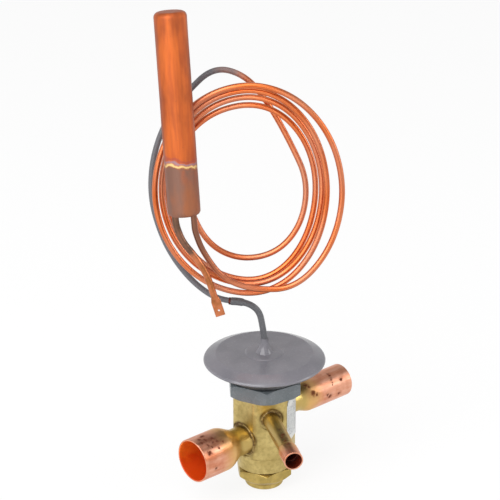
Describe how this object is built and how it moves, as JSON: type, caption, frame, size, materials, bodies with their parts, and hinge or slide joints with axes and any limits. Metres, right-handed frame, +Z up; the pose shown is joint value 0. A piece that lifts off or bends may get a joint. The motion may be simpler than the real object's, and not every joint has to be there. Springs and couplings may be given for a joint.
{
  "type": "expansion valve",
  "caption": "Refrigerant expansion valve: hexagonal brass body, three copper solder fittings, flat round head, coiled capillary tube and copper sensing bulb.",
  "frame": {"origin": "middle of the seal cap's flat foot, the valve's lowest face", "axes": "+Z up the valve's own axis towards the head, +X out of the inlet socket, -X out of the outlet socket"},
  "size_m": [0.1103, 0.109, 0.2747],
  "materials": {
    "brass_body": "turned, dull, slightly tarnished",
    "brass_cap": "turned, dull, slightly tarnished",
    "brass_inner": "machined",
    "copper_fitting": "drawn copper with oxide spots, brassy where it was heated at the neck",
    "copper_bulb": "drawn copper, heat tinted at the lower end",
    "copper_capillary": "drawn copper, painted grey where it leaves the head",
    "grey_case": "grey coating, satin",
    "grey_hex": "grey coating, satin",
    "stainless_inner": "machined",
    "spring_steel": "drawn wire",
    "rubber_seal": "smooth",
    "copper_seal": "annealed copper",
    "solder": "silver solder, oxidised",
    "label_film": "printed film, bare of words"
  },
  "bodies": {
    "valve": {"valve_body": "brass_body", "valve_seat": "stainless_inner", "outlet_fitting": "copper_fitting", "inlet_fitting": "copper_fitting", "equalizer_fitting": "copper_fitting", "outlet_braze": "solder", "inlet_braze": "solder", "equalizer_braze": "solder", "upper_case": "grey_case", "lower_case": "grey_case", "diaphragm": "stainless_inner", "element_hex": "grey_hex", "element_gasket": "copper_seal", "capillary_stub": "grey_case", "capillary_braze": "solder", "capillary_tube": "copper_capillary", "sensing_bulb": "copper_bulb", "charging_tube": "copper_capillary", "superheat_spring": "spring_steel", "stem_gland": "brass_inner", "stem_seal": "rubber_seal", "gland_seal": "copper_seal", "body_label": "label_film"},
    "pin_assembly": {"buffer_plate": "stainless_inner", "push_rods": "stainless_inner", "pin_carrier": "brass_inner", "valve_pin": "stainless_inner"},
    "stem": {"adjusting_stem": "brass_inner"},
    "guide": {"spring_guide": "brass_inner"},
    "cap_gasket": {"seal_cap_gasket": "copper_seal"},
    "cap": {"seal_cap": "brass_cap"}
  },
  "joints": [
    {"name": "pin_travel", "type": "slide", "parent": "valve", "child": "pin_assembly", "axis": [0, 0, -1], "range_m": [0, 0.0009], "stiffness_N_per_m": 400, "springref_m": -0.0025, "deforming": ["diaphragm", "superheat_spring"]},
    {"name": "stem_turn", "type": "hinge", "parent": "valve", "child": "stem", "pos_m": [0, 0, 0.02], "axis": [0, 0, 1], "range_deg": [-1440, 1440]},
    {"name": "guide_travel", "type": "slide", "parent": "valve", "child": "guide", "axis": [0, 0, 1], "range_m": [-0.0021, 0.0021]},
    {"name": "cap_travel", "type": "slide", "parent": "valve", "child": "cap_gasket", "axis": [0, 0, -1], "range_m": [0, 0.0061]},
    {"name": "cap_turn", "type": "hinge", "parent": "cap_gasket", "child": "cap", "pos_m": [0, 0, 0.006], "axis": [0, 0, -1], "range_deg": [0, 2160]}
  ],
  "couplings": [
    {"joint": "guide_travel", "follows": "stem_turn", "m_per_rad": 0.000079577},
    {"joint": "cap_travel", "follows": "cap_turn", "m_per_rad": 0.00015915}
  ]
}
